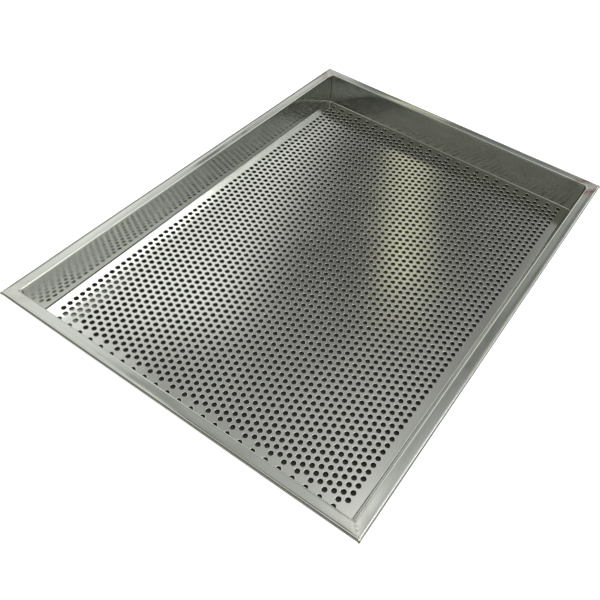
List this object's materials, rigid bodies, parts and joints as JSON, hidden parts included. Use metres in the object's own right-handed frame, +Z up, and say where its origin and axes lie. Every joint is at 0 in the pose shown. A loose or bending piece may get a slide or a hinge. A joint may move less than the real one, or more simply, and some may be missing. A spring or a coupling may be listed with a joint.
{
  "type": "baguette tray",
  "caption": "Shallow rectangular stainless tray: flat perforated base, four sloping walls, level outward flange with a wired curled edge, and mitred, welded corners.",
  "frame": {"origin": "under the middle of the tray, on the surface it stands on", "axes": "+Y along the long sides towards the rear end, +X across towards the right side, +Z up out of the tray"},
  "size_m": [0.394, 0.548, 0.0373],
  "materials": {
    "perforated_sheet": "satin rolled sheet with punched holes",
    "rail_steel": "satin, polished lengthwise",
    "rim_wire_steel": "drawn",
    "corner_weld_metal": "ground, with a brown heat tint beside it",
    "spot_weld_metal": "as welded"
  },
  "bodies": {
    "root": {"perforated_base": "perforated_sheet", "front_rail": "rail_steel", "right_rail": "rail_steel", "rear_rail": "rail_steel", "left_rail": "rail_steel", "front_rim_wire": "rim_wire_steel", "right_rim_wire": "rim_wire_steel", "rear_rim_wire": "rim_wire_steel", "left_rim_wire": "rim_wire_steel", "front_left_corner_weld": "corner_weld_metal", "front_right_corner_weld": "corner_weld_metal", "rear_right_corner_weld": "corner_weld_metal", "rear_left_corner_weld": "corner_weld_metal", "front_spot_weld_1": "spot_weld_metal", "front_spot_weld_2": "spot_weld_metal", "front_spot_weld_3": "spot_weld_metal", "front_spot_weld_4": "spot_weld_metal", "front_spot_weld_5": "spot_weld_metal", "right_spot_weld_1": "spot_weld_metal", "right_spot_weld_2": "spot_weld_metal", "right_spot_weld_3": "spot_weld_metal", "right_spot_weld_4": "spot_weld_metal", "right_spot_weld_5": "spot_weld_metal", "right_spot_weld_6": "spot_weld_metal", "right_spot_weld_7": "spot_weld_metal", "rear_spot_weld_1": "spot_weld_metal", "rear_spot_weld_2": "spot_weld_metal", "rear_spot_weld_3": "spot_weld_metal", "rear_spot_weld_4": "spot_weld_metal", "rear_spot_weld_5": "spot_weld_metal", "left_spot_weld_1": "spot_weld_metal", "left_spot_weld_2": "spot_weld_metal", "left_spot_weld_3": "spot_weld_metal", "left_spot_weld_4": "spot_weld_metal", "left_spot_weld_5": "spot_weld_metal", "left_spot_weld_6": "spot_weld_metal", "left_spot_weld_7": "spot_weld_metal"}
  },
  "joints": []
}
